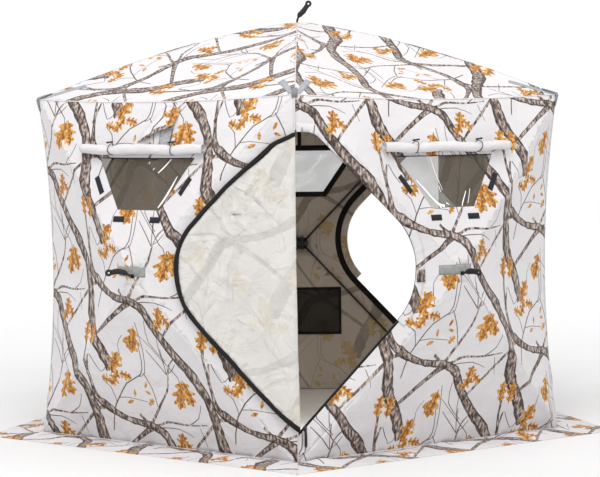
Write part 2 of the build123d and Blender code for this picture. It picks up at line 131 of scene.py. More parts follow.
def wander(x, y, z):
    """Smooth noise, from about -1 to 1."""
    return noise.noise(Vector((x, y, z)))


def clamp(x):
    return max(0.0, min(1.0, x))


def smooth_line(points, steps):
    """Points of a smooth curve through these, each number blended the same way."""
    line = []
    for i in range(len(points) - 1):
        before, a, b, after = (points[min(max(k, 0), len(points) - 1)] for k in (i - 1, i, i + 1, i + 2))
        for k in range(steps):
            t = k / steps
            line.append(tuple(0.5 * (2 * q + (r - p) * t + (2 * p - 5 * q + 4 * r - u) * t * t
                                     + (3 * q - p - 3 * r + u) * t ** 3)
                              for p, q, r, u in zip(before, a, b, after)))
    return line + [tuple(points[-1])]


def branch_outline(points, low=-1.0, high=1.0):
    """A branch, or a band of its width between low and high, from -1 on its right side to 1 on its left."""
    line = smooth_line(points, 4 if points[0][2] > 0.01 else 2)
    left, right = [], []
    for i, (x, y, width) in enumerate(line):
        x0, y0, _ = line[max(i - 1, 0)]
        x1, y1, _ = line[min(i + 1, len(line) - 1)]
        size = hypot(x1 - x0, y1 - y0)
        nx, ny = (y0 - y1) / size, (x1 - x0) / size
        for side, points_out in ((high, left), (low, right)):
            half = 0.45 * width * (1 + 0.3 * wander(x * 70, y * 70, side * 3))
            points_out.append((x + side * nx * half, y + side * ny * half))
    return left + right[::-1]


def leaf_outline(x, y, turn, length, low=-1.0, high=1.0):
    """A lobed leaf, or a band of its width between low and high."""
    c, s = cos(radians(turn)), sin(radians(turn))
    shape = LEAF if length > 0.05 else SMALL_LEAF
    half = [(t, w * (1 + 0.25 * wander(x * 40 + t * 5, y * 40, 3))) for t, w in shape]
    outline = [(t, w * high) for t, w in half] + [(t, w * low) for t, w in reversed(half)]
    return [(x + length * (t * c - w * s), y + length * (t * s + w * c)) for t, w in outline]


THICK_BRANCH, LARGE_LEAF = .035, .06  # wider branches and longer leaves get darker bands
PRINT = [(TWIG, branch_outline(b)) for b in TWIGS]
PRINT += [(BARK, branch_outline(b)) for b in BRANCHES]
PRINT += [(BARK_SHADE, branch_outline(b, *band)) for b in BRANCHES if max(p[2] for p in b) > THICK_BRANCH
          for band in ((-1.04, -.55), (.76, 1.04))]
PRINT += [(LEAF_GOLD, leaf_outline(*leaf)) for leaf in LEAVES]
PRINT += [(LEAF_SHADE, leaf_outline(*leaf, -.06, .5)) for leaf in LEAVES if leaf[3] > LARGE_LEAF]


def edges_of(polygon):
    return zip(polygon, polygon[1:] + polygon[:1])


def inside(p, polygon):
    """Whether a 2-D point is inside a polygon."""
    x, y = p
    odd = False
    for (x0, y0), (x1, y1) in edges_of(polygon):
        if (y0 > y) != (y1 > y) and x < x0 + (y - y0) * (x1 - x0) / (y1 - y0):
            odd = not odd
    return odd


def divided(polygon, step, like=None):
    """The same outline with a point at least every step, counted along the outline like if it is given."""
    out = []
    for ((x0, y0), (x1, y1)), (a, b) in zip(edges_of(polygon), edges_of(like or polygon)):
        count = max(1, ceil(hypot(b[0] - a[0], b[1] - a[1]) / step - 1e-6))
        out += [(x0 + (x1 - x0) * k / count, y0 + (y1 - y0) * k / count) for k in range(count)]
    return out


def cut_cloth(region, holes, fork, grid, marks=PRINT):
    """A flat piece of cloth with the print cut in: points, triangles and each one's part of the print.

    fork is where the print's main fork falls on the piece, or None for a plain one.
    """
    outlines = [divided(region, grid)] + [divided(h, grid) for h in holes]
    kinds = [PLAIN] * len(outlines)
    x0, x1 = min(p[0] for p in region), max(p[0] for p in region)
    y0, y1 = min(p[1] for p in region), max(p[1] for p in region)
    if fork:
        wide, high = REPEAT
        for i in range(floor((x0 - fork[0]) / wide) - 1, ceil((x1 - fork[0]) / wide) + 2):
            for j in range(floor((y0 - fork[1]) / high) - 1, ceil((y1 - fork[1]) / high) + 3):
                dx, dy = fork[0] + i * wide, fork[1] + j * high
                for kind, outline in marks:
                    mark = [(x + dx, y + dy) for x, y in outline]
                    if (max(p[0] for p in mark) < x0 or min(p[0] for p in mark) > x1
                            or max(p[1] for p in mark) < y0 or min(p[1] for p in mark) > y1):
                        continue
                    if any(inside(p, region) for p in mark):
                        outlines.append(mark)
                        kinds.append(kind)
    points, faces = [], []
    for outline in outlines:
        if sum(a[0] * b[1] - b[0] * a[1] for a, b in edges_of(outline)) < 0:
            outline = outline[::-1]
        faces.append(list(range(len(points), len(points) + len(outline))))
        points += outline
    rows = int((y1 - y0) / grid)
    columns = int((x1 - x0) / grid)
    for j in range(1, rows):
        for i in range(1, columns):
            p = (x0 + (i + 0.5 * (j % 2)) * grid, y0 + j * grid)
            if inside(p, region):
                points.append(p)
    flat, _, triangles, _, _, sources = delaunay_2d_cdt([Vector(p) for p in points], [], faces, 1, 1e-5)
    kept, parts = [], []
    for triangle, source in zip(triangles, sources):
        if 0 not in source or any(1 <= i <= len(holes) for i in source):
            continue
        kept.append(list(triangle))
        parts.append(max(kinds[i] for i in source))
    used = sorted({i for t in kept for i in t})
    number = {old: new for new, old in enumerate(used)}
    return [tuple(flat[i]) for i in used], [[number[i] for i in t] for t in kept], parts


def make_object(name, points, faces, materials, parts=None):
    mesh = bpy.data.meshes.new(name)
    mesh.from_pydata([tuple(p) for p in points], [], faces)
    for material in materials:
        mesh.materials.append(material)
    if parts:
        mesh.polygons.foreach_set("material_index", parts)
    mesh.polygons.foreach_set("use_smooth", [True] * len(mesh.polygons))
    mesh.update()
    made = bpy.data.objects.new(name, mesh)
    bpy.context.scene.collection.objects.link(made)
    return made


def layered(name, points, faces, materials, parts=None, thickness=FABRIC, inner_offset=0):
    """A thin closed piece: these faces outside, the same ones inside, and a rim.

    The inner faces take the materials that come inner_offset later in the list.
    """
    parts = parts or [0] * len(faces)
    sheet = bpy.data.meshes.new("sheet")
    sheet.from_pydata([tuple(p) for p in points], [], faces)
    sheet.update()
    normals = [v.normal.copy() for v in sheet.vertices]
    bpy.data.meshes.remove(sheet)
    count = len(points)
    inner = [Vector(p) - n * thickness for p, n in zip(points, normals)]
    edges = {}
    for face, part in zip(faces, parts):
        for a, b in edges_of(face):
            edges[(a, b)] = part
    all_faces = list(faces) + [[i + count for i in reversed(f)] for f in faces]
    all_parts = list(parts) + [p + inner_offset for p in parts]
    for (a, b), part in edges.items():
        if (b, a) not in edges:
            all_faces.append([b, a, a + count, b + count])
            all_parts.append(part)
    return make_object(name, list(points) + inner, all_faces, materials, all_parts)


def ring_faces(rings, sides, closed=False):
    """Faces between rings of points that follow one another, and back to the first one if it is closed."""
    faces = []
    for i in range(rings if closed else rings - 1):
        a, b = i * sides, (i + 1) % rings * sides
        faces += [[a + k, a + (k + 1) % sides, b + (k + 1) % sides, b + k] for k in range(sides)]
    return faces


def bar_faces(rings, sides, caps=True):
    ends = [list(range(sides))[::-1], [(rings - 1) * sides + k for k in range(sides)]]
    return ring_faces(rings, sides) + (ends if caps else [])


def swept(name, path, across, wide, thick, material, sides=16, caps=True, carried=False):
    """An oval bar along a path, with half its width and half its thickness at each point.

    Its width lies along across. If that is carried, it turns with the path from point to point.
    """
    path = [Vector(p) for p in path]
    points = []
    for i, p in enumerate(path):
        along = (path[min(i + 1, len(path) - 1)] - path[max(i - 1, 0)]).normalized()
        side = (across - along * across.dot(along)).normalized()
        up = along.cross(side)
        across = side if carried else across
        for k in range(sides):
            turn = 2 * pi * k / sides
            points.append(p + side * cos(turn) * wide[i] + up * sin(turn) * thick[i])
    return make_object(name, points, bar_faces(len(path), sides, caps), [material])


def tube(name, path, radius, material, sides=10, caps=True):
    """A round bar along a path. radius is one number, or one for each point."""
    radii = radius if isinstance(radius, (list, tuple)) else [radius] * len(path)
    across = (Vector(path[1]) - Vector(path[0])).normalized().orthogonal().normalized()
    return swept(name, path, across, radii, radii, material, sides, caps, carried=True)


def strip(name, one, other, material, thickness):
    """A tape between two matching lines of points. The first line is on its left, seen from outside."""
    faces = [[i, i + 1, len(one) + i + 1, len(one) + i] for i in range(len(one) - 1)]
    return layered(name, list(one) + list(other), faces, [material], thickness=thickness)


# ---- materials ----
def rgb(r, g, b):
    """The linear colour of one given as it is seen, from 0 to 255."""
    return tuple(((c / 255 + 0.055) / 1.055) ** 2.4 if c > 10 else c / 3294.6 for c in (r, g, b)) + (1,)


def shader(name, colours, scale=8, stretch=(1, 1, 1), roughness=0.8, bump=0.1, fine=900, sheen=0.0,
           metallic=0.0, weave=0.0, alpha=1.0, coat=0.0, detail=5.0, spread=0.36, creased=0.0):
    """A material whose colour wanders between these, with a fine bump, woven or creased if that is set."""
    material = bpy.data.materials.new(name)
    material.use_nodes = True
    tree = material.node_tree
    tree.nodes.clear()
    link = tree.links.new

    def add(kind, **values):
        node = tree.nodes.new(f"ShaderNode{kind}")
        for socket, value in values.items():
            node.inputs[socket.replace("_", " ")].default_value = value
        return node

    out = add("OutputMaterial")
    surface = add("BsdfPrincipled", Roughness=roughness, Metallic=metallic, Sheen_Weight=sheen,
                  Coat_Weight=coat, Alpha=alpha)
    link(surface.outputs["BSDF"], out.inputs["Surface"])
    place, mapping = add("TexCoord"), add("Mapping", Scale=stretch)
    link(place.outputs["Object"], mapping.inputs["Vector"])
    blotch, ramp = add("TexNoise", Scale=scale, Detail=detail), add("ValToRGB")
    link(mapping.outputs["Vector"], blotch.inputs["Vector"])
    link(blotch.outputs["Fac"], ramp.inputs["Fac"])
    stops = ramp.color_ramp.elements
    for i, colour in enumerate(colours):
        at = 0.5 + spread * (i / max(1, len(colours) - 1) - 0.5)
        stop = stops[i] if i < 2 else stops.new(at)
        stop.position, stop.color = at, rgb(*colour)
    link(ramp.outputs["Color"], surface.inputs["Base Color"])
    grain, relief = add("TexNoise", Scale=fine), add("Bump", Strength=bump, Distance=0.001)
    link(place.outputs["Object"], grain.inputs["Vector"])
    height = grain.outputs["Fac"]
    if weave:
        for direction in ("X", "Y", "Z"):
            wave, total = add("TexWave", Scale=weave), add("Math")
            wave.bands_direction = direction
            link(place.outputs["Object"], wave.inputs["Vector"])
            total.operation = "MULTIPLY_ADD"
            total.inputs[1].default_value = 0.35
            link(wave.outputs["Fac"], total.inputs[0])
            link(height, total.inputs[2])
            height = total.outputs[0]
    link(height, relief.inputs["Height"])
    if creased:
        creases = add("TexNoise", Scale=7, Detail=4, Distortion=1.2)
        soft = add("Bump", Strength=creased, Distance=0.02)
        link(place.outputs["Object"], creases.inputs["Vector"])
        link(creases.outputs["Fac"], soft.inputs["Height"])
        link(soft.outputs["Normal"], relief.inputs["Normal"])
    link(relief.outputs["Normal"], surface.inputs["Normal"])
    return material


CLOTH = dict(weave=160, bump=0.12, sheen=0.08, roughness=0.85, creased=0.6)
SLACK = dict(CLOTH, creased=1.0)
BARK_GRAIN = dict(stretch=(1, 1, 0.35), detail=4, spread=0.26, **CLOTH)
LEAF_GRAIN = dict(detail=4, spread=0.26, **CLOTH)
plain = shader("snow_cloth", [(208, 205, 207), (214, 211, 213)], scale=3, **CLOTH)
bark = shader("print_bark", [(54, 41, 37), (106, 91, 84), (148, 134, 125), (192, 181, 173)], 80,
              **BARK_GRAIN)
bark_shade = shader("print_bark_shade", [(38, 27, 24), (74, 60, 54), (112, 97, 90)], 90, **BARK_GRAIN)
twig = shader("print_twig", [(70, 55, 50), (112, 97, 90)], scale=50, **CLOTH)
gold = shader("print_leaf", [(146, 84, 28), (192, 136, 56), (214, 171, 101)], 70, **LEAF_GRAIN)
rust = shader("print_leaf_shade", [(106, 56, 20), (156, 98, 38), (184, 130, 62)], 80, **LEAF_GRAIN)


def inner_side(name, look, *colours):
    """The print's materials on an inner side, from the colours of plain cloth, twigs, bark and leaves."""
    made = []
    for part, scale, stretch, pair in zip(
            ("plain", "twig", "bark", "leaf"), (3, 20, 20, 20), (1, 1, 0.4, 1), colours):
        made.append(shader(f"{name}_{part}", pair, scale=scale, stretch=(1, 1, stretch), **look))
    paper, twigs, limbs, leaves = made
    return [paper, twigs, limbs, limbs, leaves, leaves]


# the cloth's inner face: the print shows faintly through it, and it is darker and warmer than the same cloth
# outside, as painted shade of the tent's inside
SHADED_LINING = inner_side("shaded_lining", CLOTH, [(189, 180, 169), (196, 187, 177)], [(160, 151, 142), (168, 159, 150)],
                    [(140, 131, 123), (160, 151, 142)], [(176, 154, 116), (188, 168, 132)])
FLAP = inner_side("flap", SLACK, [(202, 199, 195), (208, 205, 201)], [(196, 193, 189), (200, 197, 193)],
                  [(188, 185, 181), (196, 193, 189)], [(198, 192, 180), (203, 198, 188)])
OUTSIDE = [plain, twig, bark, bark_shade, gold, rust]
PRINTED, TURNED = OUTSIDE + SHADED_LINING, FLAP + OUTSIDE
black_tape = shader("black_tape", [(13, 12, 12), (22, 20, 20)], 60, bump=0.3, weave=420, roughness=0.95)
black_velcro = shader("black_velcro", [(24, 23, 28), (38, 37, 44)], 500, bump=0.9, fine=1500, roughness=0.95)
black_plastic = shader("black_plastic", [(18, 18, 19), (30, 30, 32)], 12, bump=0.06, roughness=0.42)
hub_plastic = shader("hub_plastic", [(9, 9, 9), (16, 16, 17)], 12, bump=0.06, roughness=0.6)
fibreglass = shader("pole_black", [(20, 20, 22), (36, 35, 37)], 30, bump=0.08, roughness=0.35)
leather = shader("pull_leather", [(6, 6, 6), (15, 14, 14)], 70, bump=0.4, fine=700, roughness=0.62)
metal = shader("zip_metal", [(70, 70, 73), (110, 110, 114)], 60, bump=0.05, roughness=0.28, metallic=1.0)
reflective = shader("reflective_grey", [(132, 133, 132), (150, 151, 150)], 40, bump=0.2, weave=500,
                    roughness=0.5)
film = shader("window_film", [(78, 70, 57), (94, 86, 72)], 4, bump=0.25, fine=9, roughness=0.07, alpha=0.32,
              coat=0.3)
# painted highlights on creases of the film
glint = shader("film_glint", [(250, 250, 250), (255, 255, 255)], 9, bump=0.1, fine=30, roughness=0.1)
# painted reflection: a lighter, less clear part of the film that stands for the sky it mirrors
painted_reflection = shader("film_haze", [(112, 113, 110), (156, 158, 156)], 6, bump=0.2, fine=12, roughness=0.12,
              alpha=0.40)
net = shader("black_mesh", [(20, 19, 19), (40, 38, 36)], 300, bump=0.8, fine=400, roughness=0.9, alpha=0.50)
# the tape along each roof hip, a little darker and more lilac-grey than the plain cloth as painted shade of
# the pole sleeve
hip_tape = shader("hip_tape", [(202, 201, 206), (209, 207, 211)], 30, bump=0.3, weave=300, roughness=0.7)
webbing = shader("grey_webbing", [(148, 151, 158), (164, 167, 173)], 40, bump=0.3, weave=400, roughness=0.6)
dark_webbing = shader("dark_webbing", [(112, 114, 118), (132, 134, 138)], 40, bump=0.3, weave=400,
                      roughness=0.7)
pale_net = shader("pale_mesh", [(150, 150, 152), (182, 182, 184)], 90, bump=0.8, fine=400, roughness=0.9)


# ---- where things are on a wall ----
class Wall:
    """One wall. s runs along it, to the right seen from outside, z is the height and n stands out of it."""

    def __init__(self, name, angle):
        turn = radians(angle)
        self.name = name
        self.angle = angle
        self.hub = f"hub_{name}"
        self.out = Vector((sin(turn), -cos(turn), 0))
        self.along = Vector((cos(turn), sin(turn), 0))
        self.origin = Vector((0, CENTRE_Y, 0)) + self.out * APOTHEM

    def at(self, s, z, n):
        return self.origin + self.along * s + Z * z + self.out * n

    def at_door(self, side):
        return any(abs((self.angle + 36 * side - corner) % 360) < 1 for corner in DOOR_CORNERS.values())

    def cloth(self, s, z, lift=0.0, wrinkled=True):
        """The point of the stretched cloth that was at s and z when it was flat."""
        a = (SIDE - abs(s)) / (SIDE - PATCH_X)
        b = (MID - abs(z - MID)) / (MID - PATCH_Y)
        f = clamp(min(a, b))
        if a < b:
            u = (z - MID) / (MID - f * (MID - PATCH_Y))
        else:
            u = s / (SIDE - f * (SIDE - PATCH_X))
        slack = 1 - min(1, u * u)
        arch = 4 * f * (1 - f)
        bend = POLE_BOW * arch - SAG * arch * slack
        if wrinkled:
            bend += arch * self.wrinkle(s, z)
            bend += self.folds(s, z) * min(1, 8 * f) * (1 - f)
        n = BULGE * f + bend * (1 - self.tautness(s, z))
        if a < b:
            side = 1 if s > 0 else -1
            pull = (DOOR_SEAM_PULL if self.at_door(side) else SEAM_PULL) * slack * (1 - f)
            s -= side * pull * sin(HALF)
            n -= pull * cos(HALF)
        elif z > MID:
            drop = EAVE_SAG * slack * (1 - f) ** 4
            z -= drop
            n -= 0.3 * drop
        return self.at(s, z, n + lift)

    def tautness(self, s, z):
        """How far the zip along a doorway's lower edge, where its slider runs, keeps the cloth flat."""
        if not self.at_door(-1):
            return 0.0
        u = (s + SIDE) / SLOPE
        return exp(-((z - DOOR_FOOT - u) / 0.085) ** 2) * clamp((0.70 - u) / 0.1)

    def wrinkle(self, s, z):
        return 0.010 * wander(s * 3.2, z * 3.2, self.angle) + 0.006 * wander(s * 9, z * 9, self.angle + 5)

    def folds(self, s, z):
        """Tension folds that run out of the lower corners and up from the ground."""
        total = 0.0
        for side in (-1, 1):
            dx, dz = SIDE - side * s, z
            far = hypot(dx, dz)
            turn = atan2(dz, dx + 1e-6)
            total += 0.006 * exp(-far / 0.4) * sin(turn * 17 + side * 2 + self.angle)
        return total + 0.004 * exp(-z / 0.25) * wander(s * 11, z * 2, self.angle)

    def stretch(self, piece, gore):
        """piece keeps the shape it was built with, its placement baked into its points; gore is not used."""
        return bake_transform(piece)


ROOM = {name: Wall(name, angle) for name, angle in WALLS.items()}
FORKS = {"front_left": (-.06, .75), "front_right": (-.03, .42), "rear_right": (.21, .30),
         "rear": (-.12, .55), "rear_left": (.16, .12)}  # where the print's main fork falls on each wall
GORES = {
    "top": [(-PATCH_X, MID + PATCH_Y), (PATCH_X, MID + PATCH_Y), (SIDE, HEIGHT), (-SIDE, HEIGHT)],
    "bottom": [(-SIDE, GROUND), (SIDE, GROUND), (PATCH_X, MID - PATCH_Y), (-PATCH_X, MID - PATCH_Y)],
    "right": [(PATCH_X, MID - PATCH_Y), (SIDE, GROUND), (SIDE, HEIGHT), (PATCH_X, MID + PATCH_Y)],
    "left": [(-SIDE, GROUND), (-PATCH_X, MID - PATCH_Y), (-PATCH_X, MID + PATCH_Y), (-SIDE, HEIGHT)],
}
WINDOW_LOW, WINDOW_HIGH, WINDOW_HALF = 1.192, 1.447, .305
WINDOW = [(-WINDOW_HALF, WINDOW_HIGH), (-.134, WINDOW_LOW), (.134, WINDOW_LOW), (WINDOW_HALF, WINDOW_HIGH)]
WINDOW_SHIFT = {"front_left": -.022, "front_right": .012}  # how far off the wall's middle it is sewn


def grown(outline, by):
    """A window's outline with its edges moved out."""
    (x0, z0), (x1, z1) = outline[0], outline[1]
    lean = hypot(x1 - x0, z1 - z0) / (z0 - z1) * by
    wide = lean + (x1 - x0) / (z0 - z1) * by
    narrow = lean - (x1 - x0) / (z0 - z1) * by
    return [(x0 - wide, z0 + by), (x1 - narrow, z1 - by), (-x1 + narrow, z1 - by), (-x0 + wide, z0 + by)]


def moved(wall, outline):
    return [(s + WINDOW_SHIFT.get(wall.name, 0), z) for s, z in outline]


def arc(centre, radius, start, end, steps):
    turns = [start + (end - start) * k / steps for k in range(steps + 1)]
    return [(centre[0] + radius * cos(t), centre[1] + radius * sin(t)) for t in turns]


def line(a, b, steps):
    return [(a[0] + (b[0] - a[0]) * k / steps, a[1] + (b[1] - a[1]) * k / steps) for k in range(steps + 1)]


DOOR_TOP, DOOR_FOOT = 1.572, 0.140  # the height of the straight upper edge, and of the lowest point
DOOR_SHOULDER = 0.088  # how far the sloping upper edge would pass over the straight one at the seam
DOOR_TURNS = 0.100, 0.345  # the radius of the bend at the shoulder, and of the one at mid-height


def door_outline(inset, start):
    """A door's edge, from the top of its corner seam round to the bottom: distance from the seam, height."""
    high = DOOR_TOP - inset
    low = DOOR_FOOT + inset * sqrt(2)
    lean = DOOR_TOP + DOOR_SHOULDER - inset * sqrt(2)
    tip = (lean - low) / 2
    small, large = (radius - inset for radius in DOOR_TURNS)
    cut = small * tan(pi / 8)
    corner = lean - high
    edge = line((start, high), (corner - cut, high), 6)
    edge += arc((corner - cut, high - small), small, pi / 2, pi / 4, 6)
    centre = (tip - large * sqrt(2), lean - tip)
    touch = large / sqrt(2)
    edge += line(edge[-1], (centre[0] + touch, centre[1] + touch), 22)[1:]
    edge += arc(centre, large, pi / 4, -pi / 4, 18)[1:]
    return edge + line(edge[-1], (start, low + start), 24)[1:]


def build_wall(wall):
    fork = FORKS[wall.name]
    node = f"wall_{wall.name}"
    for gore, region in GORES.items():
        holes = []
        if gore == "top":
            holes = [moved(wall, WINDOW)]
        if gore == "left" and wall.name in ("front_right", "rear"):
            holes = [[(u * SLOPE - SIDE, z) for u, z in door_outline(-0.005, -0.004)]]
        flat, faces, parts = cut_cloth(region, holes, fork, 0.026)
        piece = layered(f"panel_{wall.name}_{gore}", [wall.cloth(*p) for p in flat], faces, PRINTED, parts,
                        inner_offset=INSIDE)
        wall.stretch(piece, gore)
        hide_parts(node)
    patch = [(x * PATCH_X, MID + y * PATCH_Y) for x, y in ((-1, -1), (1, -1), (1, 1), (-1, 1))]
    flat, faces, parts = cut_cloth(patch, [], fork, 0.02)
    piece = layered(f"panel_{wall.name}_middle", [wall.cloth(*p) for p in flat], faces, PRINTED, parts,
                    inner_offset=INSIDE)
    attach(piece, wall.hub)
    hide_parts(node)


for wall in ROOM.values():
    build_wall(wall)


# ---- roof ----
CORNERS = {0: "front", 72: "right", 144: "rear_right", 216: "rear_left", 288: "left"}
ROOF_PATCH_X, ROOF_PATCH_Y = PATCH * sin(HALF), PATCH * cos(HALF)
ROOF_SLOPE = hypot(APOTHEM - ROOF_PATCH_Y, PEAK - HEIGHT)


def roof_cloth(wall, x, y, lift=0.0):
    """The point of the stretched roof over one wall, from x along the eave and y up the slope when flat."""
    f = clamp(y / ROOF_SLOPE)
    half = SIDE + (ROOF_PATCH_X - SIDE) * f
    slack = 1 - min(1, (x / half) ** 2)
    arch = 4 * f * (1 - f)
    drop = EAVE_SAG * slack * (1 - f)
    reach = APOTHEM + (ROOF_PATCH_Y - APOTHEM) * f - 0.3 * drop
    z = HEIGHT + (PEAK - HEIGHT) * f + ROOF_BOW * arch - ROOF_SAG * arch * slack - drop
    z += arch * 0.7 * wall.wrinkle(x, y + 4)
    return Vector((0, CENTRE_Y, 0)) + wall.along * x + wall.out * reach + Z * (z + lift)


def roof_stretch(piece):
    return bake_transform(piece)


ROOF_FORKS = {"front_left": (-.30, .30), "front_right": (.22, .18), "rear_right": (-.1, .4),
              "rear": (.3, .1), "rear_left": (0, .25)}
ROOF_TURN = {"front_left": 90, "front_right": 128}  # how far the print is turned, in degrees
FAR_ROOF_TURN = 105
CORNER_STRAP = ((.004, .004), (.034, .002), (.205, .150), (.182, .174))  # distance from the corner, and up


def turned(points, degrees):
    c, s = cos(radians(degrees)), sin(radians(degrees))
    return [(x * c - y * s, x * s + y * c) for x, y in points]


def build_roof(wall):
    region = [(-SIDE, 0), (SIDE, 0), (ROOF_PATCH_X, ROOF_SLOPE), (-ROOF_PATCH_X, ROOF_SLOPE)]
    turn = ROOF_TURN.get(wall.name, FAR_ROOF_TURN)
    flat, faces, parts = cut_cloth(turned(region, -turn), [], ROOF_FORKS[wall.name], 0.03)
    flat = turned(flat, turn)
    piece = layered(f"roof_{wall.name}", [roof_cloth(wall, *p) for p in flat], faces, PRINTED, parts,
                    inner_offset=INSIDE)
    roof_stretch(piece)
    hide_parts("roof_canopy")
    for side in (-1, 1):  # the webbing that reinforces the corner over the pole's end
        flat, faces, _ = cut_cloth([(side * (SIDE - x), y) for x, y in CORNER_STRAP], [], None, 0.03)
        cap = layered(f"roof_corner_{wall.name}_{side + 2}", [roof_cloth(wall, *p, lift=.0016) for p in flat],
                      faces, [webbing])
        roof_stretch(cap)
    edges = [[roof_cloth(wall, inset - SIDE + (SIDE - ROOF_PATCH_X) * k / 30, ROOF_SLOPE * k / 30, .0014)
              for k in range(31)] for inset in (.0005, .006)]
    # the hip tape, with its painted shade
    tape = strip(f"hip_tape_{wall.name}", edges[1], edges[0], hip_tape, .0024)
    roof_stretch(tape)


for wall in ROOM.values():
    build_roof(wall)
tops = [Vector((PATCH * sin(t), CENTRE_Y - PATCH * cos(t), PEAK))
        for t in (radians(72 * k) for k in range(5))]
crown = layered("roof_middle", tops + [Vector((0, CENTRE_Y, PEAK))],
                [[i, (i + 1) % 5, 5] for i in range(5)], [plain, SHADED_LINING[0]], inner_offset=1)
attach(crown, "hub_roof")
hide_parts("roof_canopy")


def outward(degrees):
    """The level direction from the shelter's middle, turned this far from the front."""
    return Vector((sin(radians(degrees)), -cos(radians(degrees)), 0))


# the webbing over a corner, up the hip as parts of its length, and down the wall's corner
WRAP_UP, WRAP_DOWN = (.055, .04, .025, .012, .003), (.006, .016, .03, .046, .06)
FRONT_WRAP = .25  # how much of the way down the front one goes
WRAP_THICK = (.002, .004, .006, .007, .007, .007, .006, .005, .004, .002)
WRAP_LIFT = (.001, .0022, .003, .0035, .004, .004, .0035, .003, .0022, .001)
for turn, where in CORNERS.items():
    wall = next(w for w in ROOM.values() if abs((w.angle - 36 - turn) % 360) < 1)
    out = outward(turn)
    over = [roof_cloth(wall, -(SIDE + (ROOF_PATCH_X - SIDE) * f), ROOF_SLOPE * f) for f in WRAP_UP]
    reach = FRONT_WRAP if where == "front" else 1
    over += [wall.cloth(-SIDE, HEIGHT - drop * reach) for drop in WRAP_DOWN]
    path = [p + (out + Z * .6) * lift for p, lift in zip(over, WRAP_LIFT)]
    wrap = swept(f"corner_wrap_{where}", path, out.cross(Z), [.014] * len(path), WRAP_THICK, dark_webbing)
    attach(wrap, "root")


# ---- poles ----
POLE_RADIUS, FERRULE_RADIUS, TIP_RADIUS = .0055, .0066, .006
POLE_START, TIP_INSET = .028, .075  # from the hub's middle to a wall pole, and from its tip to the corner
ROOF_POLE_START, ROOF_TIP = .034, (1.305, 1.742)  # the tip's distance from the middle, and its height


def bent_pole(name, start, end, lift, outer, inner):
    """A pole between two points, bent out by lift, with its ferrule and its tip."""
    steps = 26
    path = [start.lerp(end, k / steps) + lift * 4 * (k / steps) * (1 - k / steps) for k in range(steps + 1)]
    radii = [FERRULE_RADIUS] + [POLE_RADIUS] * (steps - 1) + [TIP_RADIUS]
    pole = tube(name, path, radii, fibreglass, sides=12)
    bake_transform(pole)
    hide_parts(name)


for wall in ROOM.values():
    for where, sx, sz in (("top_right", 1, 1), ("top_left", -1, 1), ("bottom_left", -1, -1),
                          ("bottom_right", 1, -1)):
        def spoke(r, n):
            return wall.at(sx * r * SIDE / DIAGONAL, MID + sz * r * MID / DIAGONAL, n)
        bent_pole(f"pole_{wall.name}_{where}", spoke(POLE_START, BULGE - .015),
                  spoke(DIAGONAL - TIP_INSET, -.008), wall.out * .024,
                  spoke(DIAGONAL, 0), spoke(PATCH, 0))
for turn, where in CORNERS.items():
    out = outward(turn)
    centre = Vector((0, CENTRE_Y, 0))
    bent_pole(f"roof_pole_{where}", centre + out * ROOF_POLE_START + Z * (PEAK - .016),
              centre + out * ROOF_TIP[0] + Z * ROOF_TIP[1], Z * .053,
              centre + out * RADIUS, centre + out * PATCH)


# ---- windows ----
def on_top(wall, points, lift):
    return [wall.cloth(s, z, lift) for s, z in points]


def box_patch(centre, half_x, half_y, turn, step=.02):
    """A small rectangle of cloth, turned about its middle."""
    c, s = cos(turn), sin(turn)
    corners = [(-half_x, -half_y), (half_x, -half_y), (half_x, half_y), (-half_x, half_y)]
    shape = [(centre[0] + x * c - y * s, centre[1] + x * s + y * c) for x, y in corners]
    return cut_cloth(shape, [], None, step)


GLINTS = {  # painted highlights: white streaks where creases of the film catch the light
    "front_left": [((.16, 1.445, .004), (.12, 1.40, .008), (.09, 1.375, .004)),
                   ((.215, 1.36, .003), (.17, 1.27, .012), (.12, 1.205, .006)),
                   ((.06, 1.40, .004), (.05, 1.39, .003)), ((.02, 1.43, .007), (.015, 1.42, .004)),
                   ((.24, 1.33, .004), (.21, 1.27, .007), (.185, 1.235, .004))],
    "front_right": [((-.20, 1.33, .004), (-.13, 1.25, .007), (-.07, 1.19, .006)),
                    ((-.17, 1.30, .003), (-.10, 1.22, .010), (-.05, 1.20, .014)),
                    ((.10, 1.27, .004), (.07, 1.22, .007), (.06, 1.195, .004)),
                    ((.13, 1.28, .003), (.10, 1.21, .004)), ((-.04, 1.215, .007), (-.02, 1.205, .004)),
                    ((-.07, 1.30, .004), (-.065, 1.27, .003)),
                    ((-.09, 1.44, .003), (-.08, 1.37, .003), (-.05, 1.28, .003))],
}
PAINTED_REFLECTION = {"front_right": [(-.30, 1.445), (-.20, 1.315), (-.04, 1.195), (.02, 1.195), (-.05, 1.26), (-.10, 1.36),
                        (-.115, 1.445)]}  # painted reflection: where the film is made lighter to stand for the sky it mirrors
PANE_HEM = .012  # how far the film runs on behind the cloth
BINDING = .001, .032  # where the tape round a window starts and ends, outside its edge


